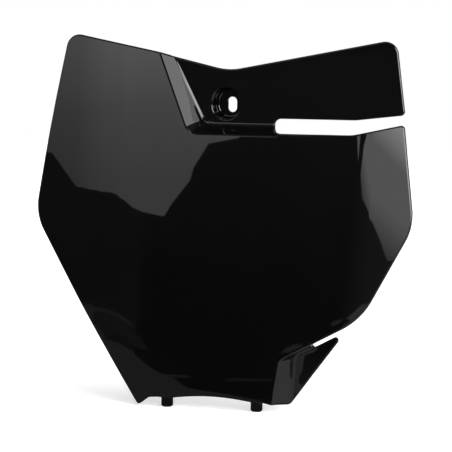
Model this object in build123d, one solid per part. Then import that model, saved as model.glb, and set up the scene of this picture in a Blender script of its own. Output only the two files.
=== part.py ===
from build123d import *
import os
from math import cos, radians, sin, tan

# Racing number board: one moulded plastic sheet, in mm. The origin lies on the screw slot's axis, on
# the back of its seat. X is the viewer's right, Y points back to the bike and Z is up, along the lugs.
# Heights are above (+) or below (-) the screw slot, and angles are in degrees.

# Sheet: a leaning centre panel with two soft folds on each side
wall = 2.5
lean = 7.0
inner_fold_x = 62.0
inner_fold_turn = 4.0
outer_fold_x = 93.0
outer_fold_turn = 4.0
fold_radius = 240.0

# Front outline
right_corner_x = 113.9
right_corner_z = 45.3
left_corner_x = -112.1
left_corner_z = 47.6
top_corner_radius = 9.0
notch_z = 23.0
notch_radius = 40.0
step_top_x = -46.5
step_top_rise = 1.65
step_top_run = 8.0
step_top_foot_rise = 0.6
step_top_radius = 30.0
right_waist_x = 130.0
left_waist_x = -131.4
waist_z = -77.4
waist_radius = 34.0
left_side_bow = 1.6
lower_left_bow = 1.2
bow_radius = 1500.0
bottom_z = -195.7
bottom_arch_rise = 4.0
bottom_arch_gap = 4.0
tip_x = -49.9
tip_drop = 5.5
tip_radius = 2.0
tooth_gap = 6.85
tooth_radius = 2.0

# Fin: an upright upper right face behind the panel, with drafted walls beside and below it
fin_setback = 12.4
fin_foot_x = -21.7
fin_foot_angle = 27.0
fin_side_draft = 35.0
fin_low_gap = 3.9
fin_low_draft = 21.5
fin_corner_radius = 11.0
fin_floor_radius = 2.8

# Slot between the fin and the panel, open to the right
slot_left_x = 32.6
slot_high_z = -8.8
slot_width = 9.5
slot_end_flat = 0.8
slot_kink_x = 87.5
slot_kink_radius = 25.0
slot_mouth_low_z = -10.8
slot_mouth_high_z = -4.8
slot_mouth_radius = 2.5

# Flap: an upright lower right corner behind the panel, with a slit above it
flap_setback = 14.9
flap_foot_x = 52.6
flap_foot_angle = -3.0
flap_side_draft = 36.0
flap_top_draft = 8.0
flap_top_foot = 1.4
flap_corner_radius = 5.0
flap_floor_radius = 2.0
flap_low_x = 51.1
flap_drop = 2.0
flap_low_radius = 2.5
flap_tip_radius = 2.2
flap_top_length = 24.4
step_low_gap = 5.75
step_low_drop = 0.8
step_low_radius = 5.0
slit_width = 2.45
slit_end_x = 65.5
slit_rise = 39.2
slit_angle = 28.5
slit_corner_x = 98.5
slit_corner_radius = 46.0
slit_end_radius = 0.8

# Screw cup behind the fin, with an oblong screw slot in its seat
cup_depth = 13.0
cup_width = 19.0
cup_stretch = 2.4
cup_rise = 0.8
cup_shift = -1.2
cup_draft = 3.0
cup_rim_round = 1.0
cup_seat_round = 1.5
screw_slot_width = 6.5
screw_slot_height = 10.5

# Lugs on a lip along the bottom edge
lug_spacing = 61.5
lug_radius = 4.0
lug_drop = 6.1
lug_chamfer = 1.0
lug_inset = 0.3
lug_seat_rise = 0.5
lug_seat_radius = 5.0
lug_seat_blend = 25.0
lug_rib_height = 30.0
lip_margin = 1.5
lip_end_gap = 3.0

# Room that cutting blocks reach past the sheet
reach = 300.0
side_room = 20.0

to_front = Vector(0, -1, 0)

fin_y = -cup_depth - wall
panel_y = fin_y - fin_setback
bottom_y = panel_y + bottom_z * tan(radians(lean))
flap_y = bottom_y + flap_setback
flap_low_z = bottom_z - flap_drop
slit_z = bottom_z + slit_rise
tip_z = bottom_z - tip_drop
slot_low_z = slot_high_z - slot_width
slot_end_radius = (slot_width - slot_end_flat) / 2
cup_height = cup_width + cup_stretch
fin_low_foot_z = cup_rise - cup_height / 2 - fin_low_gap
lug_x = lug_spacing / 2
lug_y = bottom_y + lug_radius + lug_inset
lug_tip_z = bottom_z - lug_drop
lug_seat_z = bottom_z + lug_seat_rise
lip_back_y = lug_y + lug_radius + lip_margin

# The tooth and the foot of the step keep their gaps to the level seats at the lugs
seat_end_x = lug_x + lug_seat_radius
tooth_x = -seat_end_x - tooth_gap
step_low_x = seat_end_x + step_low_gap

# The bottom edge arches between the seats, and stays straight for a gap next to each
bottom_peak_z = bottom_z + bottom_arch_rise
arch_run = lug_x - lug_seat_radius
bottom_radius = (arch_run - bottom_arch_gap) * arch_run / (bottom_peak_z - lug_seat_z)


def front_face(points, radii):
    """A face of the front view, with each of its corners rounded by its own radius."""
    outline = FilletPolyline(*points, radius=radii, close=True)
    return make_face(outline)


def through(face):
    """A face of the front view, carried right through the board."""
    return extrude(Plane.XZ * face, amount=reach, both=True)


def ahead_of(plane):
    """Everything on the side that a plane faces."""
    return plane * Pos(0, 0, reach / 2) * Box(2 * reach, 2 * reach, reach)


def meeting_point(a, b, c):
    """The point where three planes meet."""
    ab = a.z_dir.cross(b.z_dir)
    bc = b.z_dir.cross(c.z_dir)
    ca = c.z_dir.cross(a.z_dir)
    total = bc * a.origin.dot(a.z_dir) + ca * b.origin.dot(b.z_dir) + ab * c.origin.dot(c.z_dir)
    return total / a.z_dir.dot(bc)


def drafted_wall(foot_x, foot_z, floor_y, angle, draft):
    """A wall standing on a floor, open toward an angle of the front view and leaning open by its draft."""
    open_side = Vector(cos(radians(angle)), 0, sin(radians(angle)))
    facing = open_side * cos(radians(draft)) + to_front * sin(radians(draft))
    return Plane((foot_x, floor_y, foot_z), z_dir=facing)


def panel_section():
    """The space behind the folded panel, cut square to its lean, with the panel's middle at zero depth."""
    fold_depth = (outer_fold_x - inner_fold_x) * tan(radians(inner_fold_turn))
    end_x = side_room - left_waist_x
    end_depth = fold_depth + (end_x - outer_fold_x) * tan(radians(inner_fold_turn + outer_fold_turn))
    right = [(inner_fold_x, 0), (outer_fold_x, fold_depth), (end_x, end_depth)]
    left = [(-x, depth) for x, depth in reversed(right)]
    front = FilletPolyline(*left, *right, radius=fold_radius)
    back = Polyline(front @ 1, (end_x, reach / 2), (-end_x, reach / 2), front @ 0)
    return make_face(front + back)


up_the_panel = Vector(0, sin(radians(lean)), cos(radians(lean)))
square_to_panel = Plane((0, panel_y, 0), x_dir=(1, 0, 0), z_dir=up_the_panel)
panel_space = extrude(square_to_panel * panel_section(), amount=reach, both=True)


def behind_panel(skin):
    """The space behind the folded panel, a skin's depth below its face."""
    return Pos(0, skin / cos(radians(lean)), 0) * panel_space


def recess(floor_y, walls, corner_radius, floor_radius, skin):
    """The open space in front of a set-back floor, between two drafted walls."""
    floor = Plane.XZ.offset(-floor_y - skin)
    sides = [side.offset(-skin) for side in walls]
    corner = meeting_point(floor, *sides)
    space = ahead_of(floor) & ahead_of(sides[0]) & ahead_of(sides[1])
    at_corner = space.edges().filter_by(lambda e: e.distance_to(corner) < wall / 10)
    upright = at_corner.filter_by(lambda e: abs(e.tangent_at(0.5).Y) > 0.1)
    space = fillet(upright, corner_radius + skin)
    near = space.edges().filter_by(lambda e: e.distance_to(corner) < reach / 4)
    foot = near.filter_by(lambda e: abs(e.center().Y - corner.Y) < wall / 10)
    return fillet(foot, floor_radius + skin)


def cup(skin):
    """The open space of the screw cup behind the fin."""
    mouth = SlotOverall(cup_height + 2 * skin, cup_width + 2 * skin, rotation=90)
    mouth = Plane.XZ.offset(-fin_y) * Pos(cup_shift, cup_rise) * mouth
    return extrude(mouth, amount=-cup_depth - skin, taper=cup_draft)


def side_x(z):
    """Where the straight right side lies at a height."""
    side_slope = (right_waist_x - right_corner_x) / (right_corner_z - waist_z)
    return right_corner_x + (right_corner_z - z) * side_slope


def bowed(start, end, bow):
    """The middle of an edge of the outline, moved out by its bow."""
    along = (Vector(end) - Vector(start)).normalized()
    middle = (Vector(start) + Vector(end)) / 2 + Vector(-along.Y, along.X) * bow
    return (middle.X, middle.Y)


fin_walls = [
    drafted_wall(fin_foot_x, 0, fin_y, fin_foot_angle, fin_side_draft),
    drafted_wall(0, fin_low_foot_z, fin_y, 90, fin_low_draft),
]

# The slit runs up to the right along its angle, and the flap lies on its open side
along_slit = Vector(cos(radians(slit_angle)), sin(radians(slit_angle)))
across_slit = Vector(sin(radians(slit_angle)), -cos(radians(slit_angle)))
slit_end = Vector(slit_end_x, slit_z)
flap_top = slit_end + across_slit * slit_width
flap_tip = flap_top + along_slit * flap_top_length
flap_top_foot_point = slit_end + across_slit * flap_top_foot
flap_walls = [
    drafted_wall(flap_foot_x, bottom_z, flap_y, flap_foot_angle, flap_side_draft),
    drafted_wall(flap_top_foot_point.X, flap_top_foot_point.Y, flap_y, slit_angle - 90, flap_top_draft),
]
slit_corner_z = slit_z + (slit_corner_x - slit_end_x) * tan(radians(slit_angle))

# The left part of the top edge steps up where the panel stands in front of the fin
top_slope = (left_corner_z - notch_z) / left_corner_x
step_top_z = notch_z + top_slope * step_top_x + step_top_rise
step_top_foot_x = step_top_x + step_top_run
step_top_foot_z = notch_z + top_slope * step_top_foot_x + step_top_foot_rise

left_corner = (left_corner_x, left_corner_z)
left_waist = (left_waist_x, waist_z)
tip = (tip_x, tip_z)

# Outline of the front view, clockwise from the notch: each corner with its radius
corners = [
    ((0, notch_z), notch_radius),
    ((right_corner_x, right_corner_z), top_corner_radius),
    ((side_x(slot_mouth_high_z), slot_mouth_high_z), slot_mouth_radius),
    ((slot_kink_x, slot_high_z), slot_kink_radius),
    ((slot_left_x, slot_high_z), slot_end_radius),
    ((slot_left_x, slot_low_z), slot_end_radius),
    ((slot_kink_x, slot_low_z), slot_kink_radius),
    ((side_x(slot_mouth_low_z), slot_mouth_low_z), slot_mouth_radius),
    ((right_waist_x, waist_z), waist_radius),
    ((slit_corner_x, slit_corner_z), slit_corner_radius),
    ((slit_end.X, slit_end.Y), slit_end_radius),
    ((flap_top.X, flap_top.Y), slit_end_radius),
    ((flap_tip.X, flap_tip.Y), flap_tip_radius),
    ((flap_low_x, flap_low_z), flap_low_radius),
    ((step_low_x, bottom_z - step_low_drop), step_low_radius),
    ((seat_end_x, lug_seat_z), lug_seat_blend),
    ((arch_run, lug_seat_z), lug_seat_blend),
    ((0, bottom_peak_z), bottom_radius),
    ((-arch_run, lug_seat_z), lug_seat_blend),
    ((-seat_end_x, lug_seat_z), lug_seat_blend),
    ((tooth_x, bottom_z), tooth_radius),
    (tip, tip_radius),
    (bowed(tip, left_waist, lower_left_bow), bow_radius),
    (left_waist, waist_radius),
    (bowed(left_waist, left_corner, left_side_bow), bow_radius),
    (left_corner, top_corner_radius),
    ((step_top_x, step_top_z), step_top_radius),
    ((step_top_foot_x, step_top_foot_z), step_top_radius),
]
outline = front_face([place for place, radius in corners], [radius for place, radius in corners])

# The recesses end inside the slot and the slit, so that the panel runs whole to their edges
slot_middle_z = (slot_low_z + slot_high_z) / 2
mouth_middle_z = (slot_mouth_low_z + slot_mouth_high_z) / 2
below_slot = make_face(
    Polyline(
        (slot_left_x + slot_end_radius, slot_middle_z),
        (slot_kink_x, slot_middle_z),
        (side_x(mouth_middle_z), mouth_middle_z),
        (reach, mouth_middle_z),
        (reach, -reach),
        (slot_left_x + slot_end_radius, -reach),
        close=True,
    )
)
slit_start = slit_end + across_slit * (slit_width / 2)
above_slit = Rectangle(reach, reach, align=(Align.MIN, Align.MIN))
above_slit = Pos(slit_start.X, slit_start.Y) * Rot(0, 0, slit_angle) * Pos(slit_end_radius, 0) * above_slit


def behind_front(skin):
    """The space behind the finished front, a skin's depth below it."""
    fin_recess = recess(fin_y, fin_walls, fin_corner_radius, fin_floor_radius, skin)
    flap_recess = recess(flap_y, flap_walls, flap_corner_radius, flap_floor_radius, skin)
    space = behind_panel(skin)
    space -= fin_recess - through(below_slot)
    space -= flap_recess - through(above_slit)
    return space - cup(skin)


def cup_edges(space, y):
    """The edges round the screw cup in the upright plane at a depth."""
    hair = wall / 100
    level = space.edges().filter_by(lambda e: abs(e.tangent_at(0.5).Y) < hair)
    level = level.filter_by(lambda e: abs(e.center().Y - y) < hair)
    level = level.filter_by(lambda e: abs(e.center().X) < cup_width)
    return level.filter_by(lambda e: abs(e.center().Z - cup_rise) < cup_height)


# Front of the sheet, with the cup's mouth and the corner round its seat rounded
front_space = behind_front(0)
front_space = fillet(cup_edges(front_space, fin_y), cup_rim_round)
front_space = fillet(cup_edges(front_space, -wall), cup_seat_round)

sheet = (front_space - behind_front(wall)) & through(outline)
sheet -= through(SlotOverall(screw_slot_height, screw_slot_width, rotation=90))

# Lip along the bottom edge: a band of the outline as high as the wall, carried back past the lugs
band = outline - Pos(0, wall) * outline
lip_width = step_low_x - tooth_x - 2 * lip_end_gap
band &= Pos((step_low_x + tooth_x) / 2, bottom_peak_z) * Rectangle(lip_width, -2 * tooth_x)
lip = through(band) & behind_panel(wall / 2) - ahead_of(Plane.XZ.offset(-lip_back_y).reverse())

# Lugs: round pins below the lip, that run up behind the panel as ribs with pointed ends
lug_length = lug_drop + lug_rib_height
pin = Cylinder(lug_radius, lug_length, align=(Align.CENTER, Align.CENTER, Align.MIN))
pin = chamfer(pin.edges().group_by(Axis.Z)[0], lug_chamfer)
pin = chamfer(pin.edges().group_by(Axis.Z)[-1], lug_radius - lug_chamfer)
board = sheet + lip
for lug_side in (1, -1):
    board += Pos(lug_side * lug_x, lug_y, lug_tip_z) * pin & front_space

os.makedirs("parts", exist_ok=True)
export_step(board, "parts/number_board.step")
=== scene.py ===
import math

import bmesh
import bpy
from mathutils import Matrix, Vector
from mathutils.bvhtree import BVHTree
from mathutils.geometry import barycentric_transform


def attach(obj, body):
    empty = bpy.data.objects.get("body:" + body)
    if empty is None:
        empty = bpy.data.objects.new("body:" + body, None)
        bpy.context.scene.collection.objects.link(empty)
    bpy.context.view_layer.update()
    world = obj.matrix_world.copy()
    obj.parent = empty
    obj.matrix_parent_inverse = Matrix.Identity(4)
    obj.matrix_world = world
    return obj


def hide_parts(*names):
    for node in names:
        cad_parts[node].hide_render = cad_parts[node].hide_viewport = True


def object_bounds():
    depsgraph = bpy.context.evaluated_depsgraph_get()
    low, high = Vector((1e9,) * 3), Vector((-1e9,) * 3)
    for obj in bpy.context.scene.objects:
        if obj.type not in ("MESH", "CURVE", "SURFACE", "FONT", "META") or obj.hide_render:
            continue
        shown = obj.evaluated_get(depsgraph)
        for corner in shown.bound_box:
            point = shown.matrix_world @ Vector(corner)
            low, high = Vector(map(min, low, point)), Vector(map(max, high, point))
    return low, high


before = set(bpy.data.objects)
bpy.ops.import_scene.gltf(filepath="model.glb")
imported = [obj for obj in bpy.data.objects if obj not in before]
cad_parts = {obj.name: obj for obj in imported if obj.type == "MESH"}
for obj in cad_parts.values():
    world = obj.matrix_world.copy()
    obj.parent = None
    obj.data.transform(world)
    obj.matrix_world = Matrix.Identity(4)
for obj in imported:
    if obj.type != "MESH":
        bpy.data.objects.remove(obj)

cad_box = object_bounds()

# Number board: the whole object, one injection-moulded sheet of black polypropylene, pressed against a
# polished steel mould in front and a plainer one behind. It hangs on one screw through the cup and on the
# two lugs, which drop into holes of the mudguard.
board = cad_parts["number_board"]

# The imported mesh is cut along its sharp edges, which stay marked as sharp when the cuts are closed
hair = 1e-6
flat_turn = math.radians(0.05)
shape = bmesh.new()
shape.from_mesh(board.data)
for edge in shape.edges:
    edge.smooth = len(edge.link_faces) == 2
bmesh.ops.remove_doubles(shape, verts=shape.verts, dist=hair)
inner = [edge for edge in shape.edges if edge.smooth]
bmesh.ops.dissolve_limit(shape, angle_limit=flat_turn, use_dissolve_boundaries=False, verts=[], edges=inner)
shape.normal_update()

# A line just above the slit keeps the fold's long facets clear of the rounding's end
slit_end = Vector((0.0662, -0.0466, -0.1550))
slit_turn = math.radians(28.5)
slit_clear = 0.0018
slit_reach = 0.0108
straight_front = -0.9
across_slit = Vector((-math.sin(slit_turn), 0, math.cos(slit_turn)))


def meets_slit_end(face):
    """Whether a face of the front has a corner close to the inner end of the slit."""
    gap = min((point.co - slit_end).length for point in face.verts)
    return face.normal.y < straight_front and gap < slit_reach


fold = [face for face in shape.faces if meets_slit_end(face)]
fold_edges = dict.fromkeys(edge for face in fold for edge in face.edges)
fold_points = dict.fromkeys(point for face in fold for point in face.verts)
bmesh.ops.bisect_plane(
    shape,
    geom=[*fold_points, *fold_edges, *fold],
    dist=hair,
    plane_co=slit_end + slit_clear * across_slit,
    plane_no=across_slit,
)

# The mould rounds the front outline, and the rims where the sheet steps back. Where the rounding is larger
# than the form, as at the lugs, the edges stay crisp.
edge_round = 0.001
round_steps = 4
least_turn = math.radians(20)
front_lean = -0.45
back_lean = 0.05
flap_high_z = -0.14
flap_front_y = -0.042
flap_top_rise = 0.3
crisp_spots = {
    "left lug": (Vector((-0.03075, -0.0476, -0.1990)), 0.0078),
    "right lug": (Vector((0.03075, -0.0476, -0.1990)), 0.0078),
    "foot of the step": (Vector((0.0415, -0.0520, -0.1964)), 0.0045),
    "end of the slit": (Vector((0.0660, -0.0400, -0.1575)), 0.0060),
    "screw hole": (Vector((0, -0.0025, 0)), 0.0075),
}


def takes_round(edge):
    """Whether the mould rounds an edge."""
    if edge.smooth or not edge.is_convex or edge.calc_face_angle() < least_turn:
        return False
    front, side = sorted(edge.link_faces, key=lambda face: face.normal.y)
    if front.normal.y > front_lean or side.normal.y > back_lean:
        return False
    middle = (edge.verts[0].co + edge.verts[1].co) / 2
    on_flap = middle.z < flap_high_z and middle.y > flap_front_y
    if on_flap and side.normal.z > flap_top_rise:
        return False
    return all((middle - spot).length > room for spot, room in crisp_spots.values())


rounds = bmesh.ops.bevel(
    shape,
    geom=[edge for edge in shape.edges if takes_round(edge)],
    offset=edge_round,
    offset_type="OFFSET",
    segments=round_steps,
    profile=0.5,
    affect="EDGES",
    clamp_overlap=False,
    loop_slide=True,
)
shape.normal_update()

# Each flat and fold keeps the moulding's own normal, and the rounds blend from one to the next
close_by = 0.0001
cad = board.data
cad_corners = [vertex.co for vertex in cad.vertices]
cad_faces = [tuple(face.vertices) for face in cad.polygons]
cad_loops = [tuple(face.loop_indices) for face in cad.polygons]
cad_normals = [Vector(corner.vector) for corner in cad.corner_normals]
cad_tree = BVHTree.FromPolygons(cad_corners, cad_faces)


def moulded_normal(point, facing):
    """The moulding's own normal at a point, on the face that looks one way."""
    near = cad_tree.find_nearest_range(point, close_by) or cad_tree.find_nearest_range(point, 2 * edge_round)
    spot, _, index, _ = max(near, key=lambda hit: hit[1].dot(facing))
    corners = [cad_corners[number] for number in cad_faces[index]]
    normals = [cad_normals[number] for number in cad_loops[index]]
    return barycentric_transform(spot, *corners, *normals).normalized()


def blended_normal(point):
    """The mean normal of the faces round a point, where a larger face counts for more."""
    whole = sum((face.normal * face.calc_area() for face in point.link_faces), Vector())
    return whole.normalized()


round_faces = set(rounds["faces"])
corner_normals = []
for face in shape.faces:
    for corner in face.loops:
        point = corner.vert
        flats = [other for other in point.link_faces if other not in round_faces]
        if face not in round_faces:
            normal = moulded_normal(point.co, face.normal)
        elif flats:
            flat = max(flats, key=lambda other: other.normal.dot(face.normal))
            normal = moulded_normal(point.co, flat.normal)
        else:
            normal = blended_normal(point)
        turned_in = normal.dot(face.normal) <= 0
        corner_normals.append(-normal if turned_in else normal)
moulded = bpy.data.meshes.new("moulded_board")
shape.to_mesh(moulded)
shape.free()
moulded.normals_split_custom_set(corner_normals)

piece = bpy.data.objects.new("moulded_board", moulded)
bpy.context.scene.collection.objects.link(piece)
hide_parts("number_board")
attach(piece, "root")

plastic_ior = 1.5
gloss_black = bpy.data.materials.new("gloss_black")
gloss_black.use_nodes = True
tree = gloss_black.node_tree
surface = tree.nodes["Principled BSDF"]
surface.inputs["IOR"].default_value = plastic_ior
place = tree.nodes.new("ShaderNodeTexCoord")

# The colour drifts a little where the melt flowed
deep_black = (0.0009, 0.0009, 0.0010, 1)
worn_black = (0.0019, 0.0019, 0.0020, 1)
flow_scale = 18
flow_detail = 3
flow = tree.nodes.new("ShaderNodeTexNoise")
flow.inputs["Scale"].default_value = flow_scale
flow.inputs["Detail"].default_value = flow_detail
tree.links.new(place.outputs["Object"], flow.inputs["Vector"])
tint = tree.nodes.new("ShaderNodeMix")
tint.data_type = "RGBA"
tint.inputs["A"].default_value = deep_black
tint.inputs["B"].default_value = worn_black
tree.links.new(flow.outputs["Fac"], tint.inputs["Factor"])
tree.links.new(tint.outputs["Result"], surface.inputs["Base Color"])


def ramp(tree, value, start, end, low, high):
    """A number that goes from low to high while a value goes from start to end."""
    node = tree.nodes.new("ShaderNodeMapRange")
    node.inputs["From Min"].default_value = start
    node.inputs["From Max"].default_value = end
    node.inputs["To Min"].default_value = low
    node.inputs["To Max"].default_value = high
    tree.links.new(value, node.inputs["Value"])
    return node.outputs["Result"]


# The front is polished and the back has a fine grain
polish = 0.015
back_grain = 0.32
facing = tree.nodes.new("ShaderNodeSeparateXYZ")
tree.links.new(place.outputs["Normal"], facing.inputs["Vector"])
grain = ramp(tree, facing.outputs["Y"], start=0.3, end=0.8, low=polish, high=back_grain)
tree.links.new(grain, surface.inputs["Roughness"])

# The sheet is never quite flat after cooling
ripple_size = 0.05
ripple_height = 0.000004
ripple = tree.nodes.new("ShaderNodeTexNoise")
ripple.inputs["Scale"].default_value = 1 / ripple_size
ripple.inputs["Detail"].default_value = 0
tree.links.new(place.outputs["Object"], ripple.inputs["Vector"])
bump = tree.nodes.new("ShaderNodeBump")
bump.inputs["Distance"].default_value = ripple_height
tree.links.new(ripple.outputs["Fac"], bump.inputs["Height"])
tree.links.new(bump.outputs["Normal"], surface.inputs["Normal"])

moulded.materials.append(gloss_black)


# Floor: a white studio table of matt board that the lugs stand on. It glows toward the lens, more so farther
# off, so that it stays white, and its own diffuse share keeps the soft shadow under the board.
def flat_sheet(name, corners, material):
    """A stage mesh of one flat sheet through its corners."""
    mesh = bpy.data.meshes.new(name)
    mesh.from_pydata(corners, [], [range(len(corners))])
    mesh.materials.append(material)
    sheet = bpy.data.objects.new(name, mesh)
    bpy.context.scene.collection.objects.link(sheet)
    return sheet


def four_corners(left, right, low, high):
    """The corners of a rectangle in its own two directions."""
    return [(left, low), (right, low), (right, high), (left, high)]


def laid(corners, z):
    """Corners of a sheet that lies flat at one height."""
    return [(x, y, z) for x, y in corners]


def emptied_material(name):
    """A new material with nothing but its output."""
    material = bpy.data.materials.new(name)
    material.use_nodes = True
    material.node_tree.nodes.remove(material.node_tree.nodes["Principled BSDF"])
    return material


def combined(tree, operation, first, second):
    """Two numbers put together by one operation."""
    node = tree.nodes.new("ShaderNodeMath")
    node.operation = operation
    for socket, value in zip(node.inputs, (first, second)):
        if isinstance(value, (int, float)):
            socket.default_value = value
        else:
            tree.links.new(value, socket)
    return node.outputs["Value"]


def seen_or_mirrored(tree):
    """One for rays from the lens, and for those on by way of a mirror or glass, and zero for lighting."""
    path = tree.nodes.new("ShaderNodeLightPath")
    first = combined(tree, "MAXIMUM", path.outputs["Is Camera Ray"], path.outputs["Is Glossy Ray"])
    return combined(tree, "MAXIMUM", first, path.outputs["Is Transmission Ray"])


floor_z = cad_box[0].z
floor_reach = 4.0
floor_white = (0.8, 0.8, 0.8, 1)
near_glow = 0.52
far_glow = 1.0

table_white = emptied_material("table_white")
tree = table_white.node_tree
matt = tree.nodes.new("ShaderNodeBsdfDiffuse")
matt.inputs["Color"].default_value = floor_white
place = tree.nodes.new("ShaderNodeTexCoord")
from_board = tree.nodes.new("ShaderNodeVectorMath")
from_board.operation = "LENGTH"
tree.links.new(place.outputs["Object"], from_board.inputs[0])
level = ramp(tree, from_board.outputs["Value"], start=0.3, end=0.9, low=near_glow, high=far_glow)
glow = tree.nodes.new("ShaderNodeEmission")
tree.links.new(combined(tree, "MULTIPLY", level, seen_or_mirrored(tree)), glow.inputs["Strength"])
both = tree.nodes.new("ShaderNodeAddShader")
tree.links.new(matt.outputs["BSDF"], both.inputs[0])
tree.links.new(glow.outputs["Emission"], both.inputs[1])
tree.links.new(both.outputs["Shader"], tree.nodes["Material Output"].inputs["Surface"])
table_corners = four_corners(-floor_reach, floor_reach, -floor_reach, floor_reach)
flat_sheet("floor", laid(table_corners, floor_z), table_white)

# Room: the studio round the table, with bare white walls. It is white where the lens or a mirror looks at
# it, and dim as a light, so that the lamps set the level.
room_dim = 0.25
world = bpy.data.worlds.new("white_room")
bpy.context.scene.world = world
world.use_nodes = True
tree = world.node_tree
backdrop = tree.nodes["Background"]
backdrop.inputs["Color"].default_value = (1, 1, 1, 1)
strength = ramp(tree, seen_or_mirrored(tree), start=0, end=1, low=room_dim, high=1)
tree.links.new(strength, backdrop.inputs["Strength"])


# Black flags: dark sheets hung all round the board and over it, and laid on the table before it, with a faint
# glow of their own. Only its reflections show them: they are painted reflections. They keep the polished
# black black, as a photographer does, and their glow, lighter toward their tops and sides, is painted light.
def upright(corners, y):
    """Corners of a sheet that stands and faces the board from in front or behind."""
    return [(x, y, z) for x, z in corners]


def beside(corners, x):
    """Corners of a sheet that stands on one side of the board."""
    return [(x, y, z) for y, z in corners]


def glowing_material(name, strength):
    """An even or graded white glow: the strength is a number, or a function of the place's three axes."""
    material = emptied_material(name)
    tree = material.node_tree
    lamp = tree.nodes.new("ShaderNodeEmission")
    if callable(strength):
        place = tree.nodes.new("ShaderNodeTexCoord")
        axes = tree.nodes.new("ShaderNodeSeparateXYZ")
        tree.links.new(place.outputs["Object"], axes.inputs["Vector"])
        tree.links.new(strength(tree, *axes.outputs), lamp.inputs["Strength"])
    else:
        lamp.inputs["Strength"].default_value = strength
    tree.links.new(lamp.outputs["Emission"], tree.nodes["Material Output"].inputs["Surface"])
    return material


def painted_reflection_sheet(name, corners, strength):
    """A stage sheet with a glow of its own, which shows in reflections alone: a painted reflection."""
    sheet = flat_sheet(name, corners, glowing_material(name, strength))
    sheet.visible_camera = False
    sheet.visible_diffuse = False
    sheet.visible_shadow = False
    sheet.visible_transmission = False


def hung_painted_light(tree, x, y, z):
    """Painted light: a little lighter toward the top."""
    return ramp(tree, z, start=-0.2, end=0.9, low=0.005, high=0.15)


def front_painted_light(tree, x, y, z):
    """Painted light: blackest low in the middle, and a little lighter at the foot and toward the top and both
    sides.
    """
    foot = ramp(tree, z, start=0.05, end=0.10, low=0.060, high=0.004)
    top = ramp(tree, z, start=0.33, end=0.77, low=0.004, high=0.050)
    left = ramp(tree, x, start=-1.32, end=-1.20, low=0.050, high=0)
    right = ramp(tree, x, start=-0.10, end=0.60, low=0.010, high=0.115)
    middle = combined(tree, "MAXIMUM", foot, top)
    return combined(tree, "MAXIMUM", middle, combined(tree, "MAXIMUM", left, right))


def over_painted_light(tree, x, y, z):
    """Painted light: lighter toward the back."""
    return ramp(tree, y, start=-3.0, end=-0.5, low=0.05, high=0.12)


def laid_painted_light(tree, x, y, z):
    """Painted light: lighter close to the board."""
    return ramp(tree, y, start=-0.35, end=-0.15, low=0.01, high=0.09)


flag_x = 3.0
flag_front_y = -4.0
flag_back_y = 2.2
flag_front_top = 1.9
flag_back_top = 0.9
table_flag_end = 0.05
cloth_z = floor_z + 0.0004

front_flag = four_corners(-flag_x, flag_x, cloth_z, flag_front_top)
back_flag = four_corners(-flag_x, flag_x, cloth_z, flag_back_top)
side_flag = [
    (flag_front_y, cloth_z),
    (flag_back_y, cloth_z),
    (flag_back_y, flag_back_top),
    (flag_front_y, flag_front_top),
]
top_flag = [
    (-flag_x, flag_front_y, flag_front_top),
    (flag_x, flag_front_y, flag_front_top),
    (flag_x, flag_back_y, flag_back_top),
    (-flag_x, flag_back_y, flag_back_top),
]
table_flag = four_corners(-flag_x, flag_x, flag_front_y, table_flag_end)
painted_reflection_sheet("front_flag", upright(front_flag, flag_front_y), front_painted_light)
painted_reflection_sheet("top_flag", top_flag, over_painted_light)
painted_reflection_sheet("left_flag", beside(side_flag, -flag_x), hung_painted_light)
painted_reflection_sheet("right_flag", beside(side_flag, flag_x), hung_painted_light)
painted_reflection_sheet("back_flag", upright(back_flag, flag_back_y), hung_painted_light)
painted_reflection_sheet("table_flag", laid(table_flag, cloth_z), laid_painted_light)

# The cup's dark sheet, small and close before it, keeps the right softbox out of the cup's reflection:
# painted shade
cup_shade_y = -0.1
cup_shade_sheet = four_corners(left=0.017, right=0.030, low=0.003, high=0.026)
painted_reflection_sheet("cup_shade_sheet", upright(cup_shade_sheet, cup_shade_y), strength=0.06)

# Reflection patches: glowing sheets that lie on the table before the board and to its right, or stand round
# it.
# Only its reflections show them. Each is a painted reflection that gives one of the paler patches low on the
# panel, on the flap and on the walls, and one narrow dark strip paints shade along the foot of the flap's
# wall.
side_x = 1.4
patch_z = cloth_z + 0.0002
strip_z = cloth_z + 0.0004
patch_join_y = -0.24
flap_reflection_patch = four_corners(left=0.06, right=side_x, low=patch_join_y, high=0.3)
right_reflection_patch = four_corners(left=0.1, right=side_x, low=-1.28, high=patch_join_y)
# Painted highlight: a pale stripe on the flap
flap_highlight_strip = [
    (0.002, -0.284),
    (0.009, -0.301),
    (0.011, -0.325),
    (0.014, -0.317),
    (0.014, -0.297),
    (0.011, -0.281),
    (0.013, -0.265),
    (0.025, -0.202),
    (0.027, -0.186),
    (0.030, -0.163),
    (0.034, -0.146),
    (0.040, -0.133),
    (0.043, -0.103),
    (0.039, -0.102),
]
# Painted shade: a narrow dark line along the foot of the flap's wall
wall_foot_shade_strip = [
    (0.235, -0.021),
    (0.235, -0.017),
    (0.200, -0.021),
    (0.160, -0.026),
    (0.143, -0.028),
    (0.143, -0.029),
    (0.160, -0.028),
    (0.200, -0.024),
]
painted_reflection_sheet("flap_reflection_patch", laid(flap_reflection_patch, patch_z), strength=0.6)
painted_reflection_sheet("right_reflection_patch", laid(right_reflection_patch, patch_z), strength=1.2)
painted_reflection_sheet("flap_highlight_strip", laid(flap_highlight_strip, strip_z), strength=0.40)
painted_reflection_sheet("wall_foot_shade_strip", laid(wall_foot_shade_strip, strip_z), strength=0.15)
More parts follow.
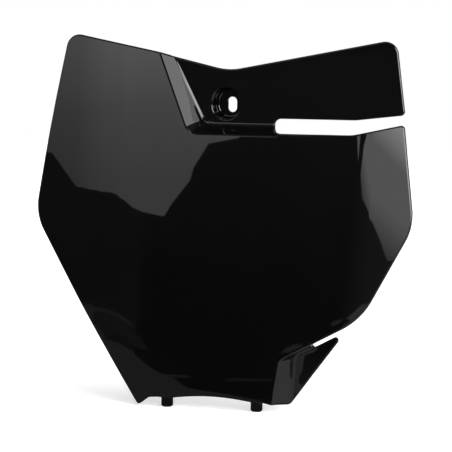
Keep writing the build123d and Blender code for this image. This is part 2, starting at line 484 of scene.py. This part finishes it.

# Those painted reflections for the lower left and the bottom edge stand just before the softboxes, one before
# the other
box_y = -1.29
faint_patch_y = -1.289
patch_y = -1.288
streak_y = -1.287
rim_width = 0.005
low_reflection_patch = [
    (-0.900, 0.010),
    (-0.745, 0.006),
    (-0.700, -0.012),
    (-0.650, -0.040),
    (-0.545, -0.044),
    (-0.460, -0.051),
    (-0.430, -0.055),
    (-0.410, -0.065),
    (-0.390, -0.077),
    (-0.367, -0.084),
    (-0.345, -0.097),
    (-0.309, -0.100),
    (-0.252, -0.107),
    (-0.235, -0.112),
    (-0.235, -0.200),
    (-0.900, -0.200),
]
faint_top = [(-0.765, 0.009), (-0.700, 0.004), (-0.630, 0.001), (-0.525, -0.008), (-0.465, -0.013)]
faint_foot = [
    (-0.440, -0.023),
    (-0.420, -0.033),
    (-0.402, -0.051),
    (-0.500, -0.036),
    (-0.680, -0.028),
    (-0.900, -0.028),
    (-0.900, 0.020),
]
faint_rim = faint_top + [(x, z - rim_width) for x, z in reversed(faint_top)]
left_streak = [(-0.405, -0.086), (-0.343, -0.083), (-0.343, -0.080), (-0.405, -0.082)]
right_streak = [(-0.292, -0.085), (-0.232, -0.082), (-0.232, -0.079), (-0.292, -0.081)]
painted_reflection_sheet("low_reflection_patch", upright(low_reflection_patch, patch_y), strength=0.20)
painted_reflection_sheet("faint_reflection_patch", upright(faint_top + faint_foot, faint_patch_y), strength=0.085)
painted_reflection_sheet("faint_rim", upright(faint_rim, patch_y), strength=0.16)
painted_reflection_sheet("left_streak", upright(left_streak, streak_y), strength=0.16)
painted_reflection_sheet("right_streak", upright(right_streak, streak_y), strength=0.11)

# Those painted reflections for the lower right stand far off, just before the front flag, where the fin
# doesn't mirror them
far_patch_y = -3.95
step_reflection_patch = [
    (-0.80, 0.208),
    (-0.785, 0.224),
    (-0.78, 0.226),
    (-0.70, 0.233),
    (-0.54, 0.236),
    (-0.50, 0.232),
    (-0.66, 0.222),
    (-0.78, 0.211),
]
corner_streak = [
    (-0.112, 0.289),
    (-0.110, 0.300),
    (-0.083, 0.308),
    (-0.010, 0.308),
    (-0.027, 0.303),
    (-0.081, 0.300),
    (-0.104, 0.290),
]
corner_reflection_patch = [
    (0.58, 0.354),
    (0.40, 0.347),
    (0.31, 0.338),
    (0.26, 0.330),
    (0.18, 0.323),
    (0.12, 0.316),
    (0.045, 0.311),
    (0.17, 0.305),
    (0.14, 0.301),
    (-0.02, 0.288),
    (0.07, 0.277),
    (0.34, 0.302),
    (0.63, 0.347),
]
painted_reflection_sheet("step_reflection_patch", upright(step_reflection_patch, far_patch_y), strength=0.26)
painted_reflection_sheet("corner_streak", upright(corner_streak, far_patch_y), strength=0.27)
painted_reflection_sheet("corner_reflection_patch", upright(corner_reflection_patch, far_patch_y), strength=0.52)

# One painted reflection stands far to the right, under the side softbox
side_patch_top = 0.1
side_patch_end = -0.3
side_reflection_patch = [
    (box_y, cloth_z),
    (side_patch_end, cloth_z),
    (side_patch_end, side_patch_top),
    (box_y, side_patch_top),
]
painted_reflection_sheet("side_reflection_patch", beside(side_reflection_patch, side_x), strength=0.45)


# Softboxes: lamps behind white cloth on stands. The left one lights the upper left of the board. The right
# ones stand in front and round to the right, where they light the right wing and the wall of the fin.
def softbox(name, corners, strength):
    """A lamp's white cloth, which lights the board and shows in its polish, but not to the lens."""
    cloth = flat_sheet(name, corners, glowing_material(name, strength))
    cloth.visible_camera = False


def left_glow(tree, x, y, z):
    """Brighter toward the top, and weaker at the far left and at its top edge."""
    low_rise = ramp(tree, z, start=0.18, end=0.30, low=0.90, high=1.36)
    high_rise = ramp(tree, z, start=0.29, end=0.40, low=0, high=0.92)
    left_fade = ramp(tree, x, start=-1.03, end=-0.62, low=0.58, high=1)
    top_fade = ramp(tree, z, start=0.45, end=0.6, low=1, high=0.3)
    fade = combined(tree, "MULTIPLY", left_fade, top_fade)
    return combined(tree, "MULTIPLY", combined(tree, "ADD", low_rise, high_rise), fade)


def right_glow(tree, x, y, z):
    """Fades at its lower left corner, and is hottest at the upper right."""
    slope = 0.84
    slant = combined(tree, "ADD", z, combined(tree, "MULTIPLY", x, slope))
    fade = ramp(tree, slant, start=0.305, end=0.372, low=0.3, high=1)
    half_right = math.sqrt(0.5)
    across = combined(tree, "MULTIPLY", x, half_right)
    corner = combined(tree, "ADD", across, combined(tree, "MULTIPLY", z, half_right))
    near_heat = ramp(tree, corner, start=0.341, end=0.4, low=2, high=6.5)
    far_heat = ramp(tree, corner, start=0.45, end=0.7, low=0, high=3)
    return combined(tree, "MULTIPLY", fade, combined(tree, "ADD", near_heat, far_heat))


def side_glow(tree, x, y, z):
    """Hottest at the front."""
    return ramp(tree, y, start=-0.9, end=-0.1, low=10, high=3.3)


left_corners = [
    (-1.026, 0.230),
    (-0.976, 0.180),
    (-0.685, 0.166),
    (-0.544, 0.147),
    (-0.401, 0.131),
    (-0.393, 0.140),
    (-0.364, 0.181),
    (-0.360, 0.199),
    (-0.342, 0.232),
    (-0.300, 0.241),
    (-0.300, 0.262),
    (-0.120, 0.275),
    (-0.120, 1.1),
    (-1.6, 1.1),
    (-1.6, 0.26),
]
right_corners = [
    (0.90, 0.74),
    (0.50, 0.50),
    (0.24, 0.34),
    (0.21, 0.30),
    (0.195, 0.252),
    (0.170, 0.233),
    (0.160, 0.212),
    (0.150, 0.195),
    (0.171, 0.163),
    (0.205, 0.154),
    (0.243, 0.134),
    (0.253, 0.112),
    (0.264, 0.083),
    (0.42, 0.083),
    (side_x, 0.1),
    (side_x, 1.0),
]
glint_corners = [(0.108, 0.253), (0.142, 0.253), (0.127, 0.212)]
side_corners = [(box_y, 0.1), (0.4, 0.1), (0.4, 1.4), (-0.1, 1.4), (-0.7, 1.0), (box_y, 1.0)]
softbox("left_softbox", upright(left_corners, box_y), left_glow)
softbox("right_softbox", upright(right_corners, box_y), right_glow)
softbox("glint", upright(glint_corners, box_y), strength=1.5)
softbox("side_softbox", beside(side_corners, side_x), side_glow)

# Key lamp: a square soft lamp on a boom, high on the right and aimed at the screw hole. It lays the board's
# short shadow on the table, back and to the left.
key_place = Vector((0.3, -0.4, 1.5))
key_size = 1.1
key_watts = 20
key_lamp = bpy.data.lights.new("key_lamp", "AREA")
key_lamp.shape = "RECTANGLE"
key_lamp.size = key_size
key_lamp.size_y = key_size
key_lamp.energy = key_watts
key_light = bpy.data.objects.new("key_light", key_lamp)
bpy.context.scene.collection.objects.link(key_light)
key_light.location = key_place
key_light.rotation_euler = (-key_place).to_track_quat("-Z", "Y").to_euler()

# Camera: a long lens a little to the right of the board and just above its middle, turned a little on its
# own axis, as the photographer held it.
turn = math.radians(14)
rise = math.radians(4.728)
roll = math.radians(0.87)
aim = Vector((0.00824, -0.0485, -0.0792))
distance = 1.3
picture_width = 452
focal_pixels = 1969.7
sensor_width = 36

back = Vector((math.sin(turn) * math.cos(rise), -math.cos(turn) * math.cos(rise), math.sin(rise)))
level_right = Vector((math.cos(turn), math.sin(turn), 0))
level_up = back.cross(level_right)
right = math.cos(roll) * level_right + math.sin(roll) * level_up
up = math.cos(roll) * level_up - math.sin(roll) * level_right
lens = bpy.data.cameras.new("lens")
lens.sensor_width = sensor_width
lens.lens = sensor_width * focal_pixels / picture_width
camera = bpy.data.objects.new("camera", lens)
bpy.context.scene.collection.objects.link(camera)
axes = Matrix((right, up, back)).transposed().to_4x4()
camera.matrix_world = Matrix.Translation(aim + distance * back) @ axes
bpy.context.scene.camera = camera

bpy.context.scene.view_settings.view_transform = "Standard"
